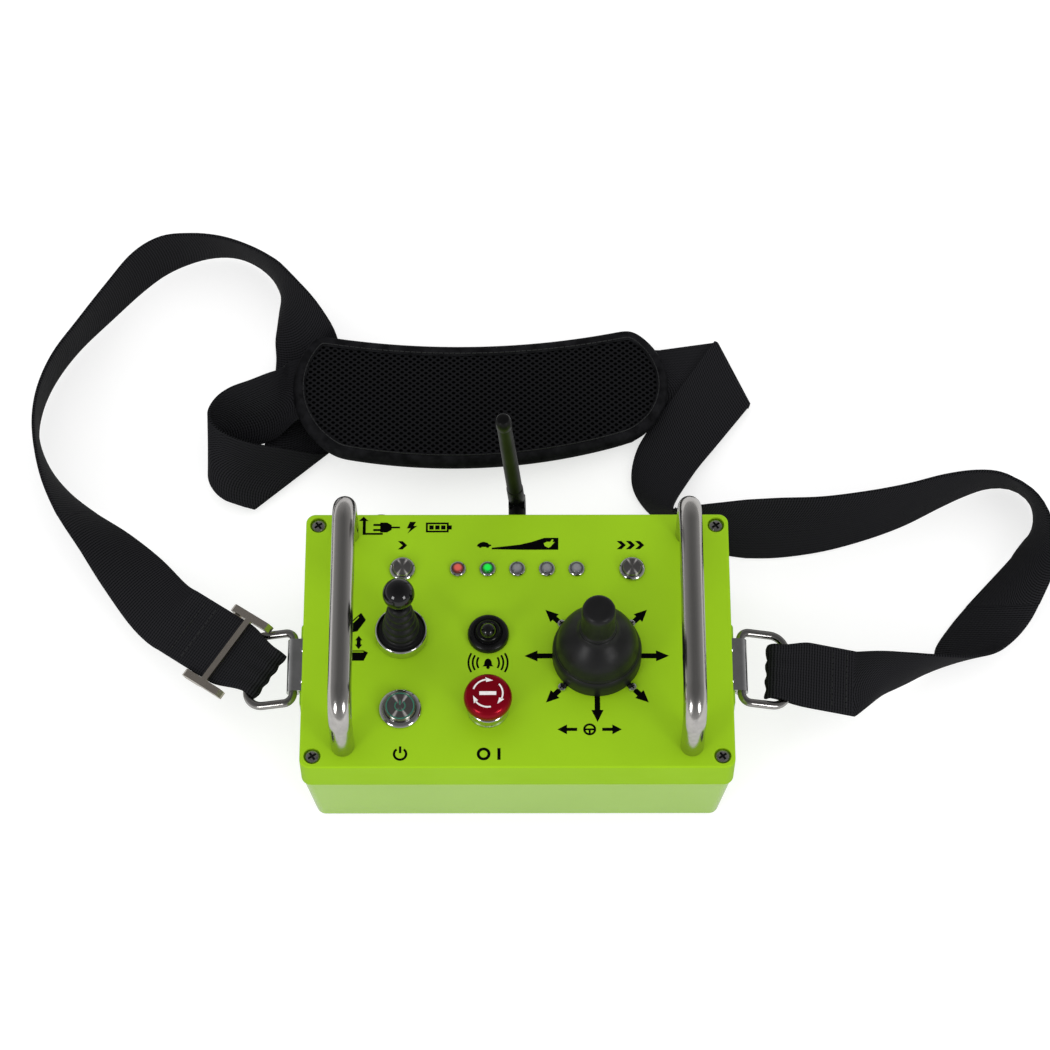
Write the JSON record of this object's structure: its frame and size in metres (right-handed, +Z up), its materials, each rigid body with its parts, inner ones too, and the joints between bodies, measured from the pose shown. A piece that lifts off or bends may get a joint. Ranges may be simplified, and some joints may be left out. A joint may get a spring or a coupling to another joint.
{
  "type": "joystick remote control",
  "caption": "Strap-worn radio remote control: cast box with grab handles, tilt lever, toggle, steering joystick, push buttons, stop button, lamps, folding antenna and padded neck strap.",
  "frame": {"origin": "middle of the box's underside, on the surface it stands on", "axes": "+X to the user's right, +Y away from the user, +Z up"},
  "size_m": [0.5594, 0.3502, 0.1559],
  "materials": {
    "box_paint": "satin green powder coat",
    "seal_rubber": "matt",
    "fastener_steel": "satin",
    "handle_steel": "polished stainless",
    "bezel_chrome": "polished",
    "cap_steel": "turned",
    "boot_rubber": "matt",
    "knob_black": "gloss",
    "collar_black": "satin",
    "switch_black": "moulded",
    "gimbal_steel": "machined",
    "stop_red": "semi-gloss",
    "lit_green": "lit ring",
    "lens_red": "lit lens",
    "lens_green": "lit lens",
    "lens_clear": "frosted",
    "strap_steel": "polished stainless",
    "webbing_black": "ribbed nylon webbing",
    "pad_mesh": "spacer mesh",
    "board_green": "solder mask",
    "battery_wrap": "shrink wrap"
  },
  "bodies": {
    "enclosure": {"base_housing": "box_paint", "lid": "box_paint", "lid_gasket": "seal_rubber", "lid_screws": "fastener_steel", "handle_screws": "fastener_steel", "steering_screws": "fastener_steel", "bracket_screws": "fastener_steel", "board_screws": "fastener_steel", "panel_nuts": "fastener_steel", "tilt_pin": "fastener_steel", "left_handle": "handle_steel", "right_handle": "handle_steel", "tilt_bezel": "bezel_chrome", "slow_button_body": "bezel_chrome", "fast_button_body": "bezel_chrome", "power_button_body": "bezel_chrome", "stop_collar": "bezel_chrome", "lamp_bezels": "bezel_chrome", "antenna_socket": "bezel_chrome", "charge_socket": "bezel_chrome", "tilt_boot": "boot_rubber", "steering_dome": "boot_rubber", "alarm_bezel": "knob_black", "steering_collar": "collar_black", "tilt_body": "switch_black", "alarm_body": "switch_black", "steering_body": "switch_black", "steering_sensor_x": "switch_black", "stop_contact_block": "switch_black", "lamp_lens_red": "lens_red", "lamp_lens_green": "lens_green", "lamp_lenses_clear": "lens_clear", "left_strap_bracket": "strap_steel", "right_strap_bracket": "strap_steel", "strap_left": "webbing_black", "strap_pad_run": "webbing_black", "strap_right": "webbing_black", "neck_pad": "pad_mesh", "circuit_board": "board_green", "battery": "battery_wrap"},
    "tilt_lever": {"tilt_rod": "bezel_chrome", "tilt_knob": "knob_black"},
    "alarm_lever": {"alarm_lever": "knob_black"},
    "steering_yoke": {"steering_yoke": "gimbal_steel", "steering_sensor_y": "switch_black"},
    "steering_stick": {"steering_shaft": "gimbal_steel", "steering_knob": "knob_black"},
    "slow_cap": {"slow_button_cap": "cap_steel"},
    "fast_cap": {"fast_button_cap": "cap_steel"},
    "power_cap": {"power_button_cap": "cap_steel", "power_button_ring": "lit_green"},
    "stop_stem": {"stop_stem": "gimbal_steel"},
    "stop_head": {"stop_head": "stop_red"},
    "antenna_elbow": {"antenna_elbow": "collar_black"},
    "antenna_whip": {"antenna_whip": "collar_black"},
    "left_ring": {"left_ring": "strap_steel", "left_strap_loop": "webbing_black"},
    "right_ring": {"right_ring": "strap_steel", "right_strap_loop": "webbing_black"},
    "strap_slider": {"strap_slider": "strap_steel"}
  },
  "joints": [
    {"name": "tilt_lever_rock", "type": "hinge", "parent": "enclosure", "child": "tilt_lever", "pos_m": [-0.06, 0.002, 0.0695], "axis": [1, 0, 0], "range_deg": [-18, 18], "stiffness_Nm_per_rad": 0.4, "deforming": ["tilt_boot"]},
    {"name": "alarm_toggle", "type": "hinge", "parent": "enclosure", "child": "alarm_lever", "pos_m": [-0.015, 0.002, 0.077], "axis": [-1, 0, 0], "range_deg": [0, 40]},
    {"name": "steering_fore_aft", "type": "hinge", "parent": "enclosure", "child": "steering_yoke", "pos_m": [0.041, -0.01, 0.061], "axis": [1, 0, 0], "range_deg": [-20, 20], "stiffness_Nm_per_rad": 0.5, "deforming": ["steering_dome"]},
    {"name": "steering_side", "type": "hinge", "parent": "steering_yoke", "child": "steering_stick", "pos_m": [0.041, -0.01, 0.061], "axis": [0, 1, 0], "range_deg": [-20, 20], "stiffness_Nm_per_rad": 0.5, "deforming": ["steering_dome"]},
    {"name": "slow_press", "type": "slide", "parent": "enclosure", "child": "slow_cap", "axis": [0, 0, -1], "range_m": [0, 0.0012], "stiffness_N_per_m": 900, "springref_m": -0.0012},
    {"name": "fast_press", "type": "slide", "parent": "enclosure", "child": "fast_cap", "axis": [0, 0, -1], "range_m": [0, 0.0012], "stiffness_N_per_m": 900, "springref_m": -0.0012},
    {"name": "power_press", "type": "slide", "parent": "enclosure", "child": "power_cap", "axis": [0, 0, -1], "range_m": [0, 0.002], "stiffness_N_per_m": 900, "springref_m": -0.002},
    {"name": "stop_press", "type": "slide", "parent": "enclosure", "child": "stop_stem", "axis": [0, 0, -1], "range_m": [0, 0.004]},
    {"name": "stop_twist", "type": "hinge", "parent": "stop_stem", "child": "stop_head", "pos_m": [-0.015, -0.04, 0.09], "axis": [0, 0, -1], "range_deg": [0, 40], "stiffness_Nm_per_rad": 0.08, "springref_deg": -17.19},
    {"name": "antenna_swivel", "type": "hinge", "parent": "enclosure", "child": "antenna_elbow", "pos_m": [0, 0.0725, 0.063], "axis": [0, 1, 0], "range_deg": [-85, 94]},
    {"name": "antenna_fold", "type": "hinge", "parent": "antenna_elbow", "child": "antenna_whip", "pos_m": [0, 0.08555, 0.063], "axis": [-0.9969, 0, -0.0785], "range_deg": [0, 90]},
    {"name": "left_ring_swing", "type": "hinge", "parent": "enclosure", "child": "left_ring", "pos_m": [-0.11761, 0, 0.04014], "axis": [0, 1, 0], "range_deg": [-35, 100]},
    {"name": "right_ring_swing", "type": "hinge", "parent": "enclosure", "child": "right_ring", "pos_m": [0.11761, 0, 0.04014], "axis": [0, -1, 0], "range_deg": [-35, 100]},
    {"name": "slider_adjust", "type": "slide", "parent": "left_ring", "child": "strap_slider", "axis": [-0.7677, 0.6018, -0.2201], "range_m": [0, 0.018]}
  ]
}
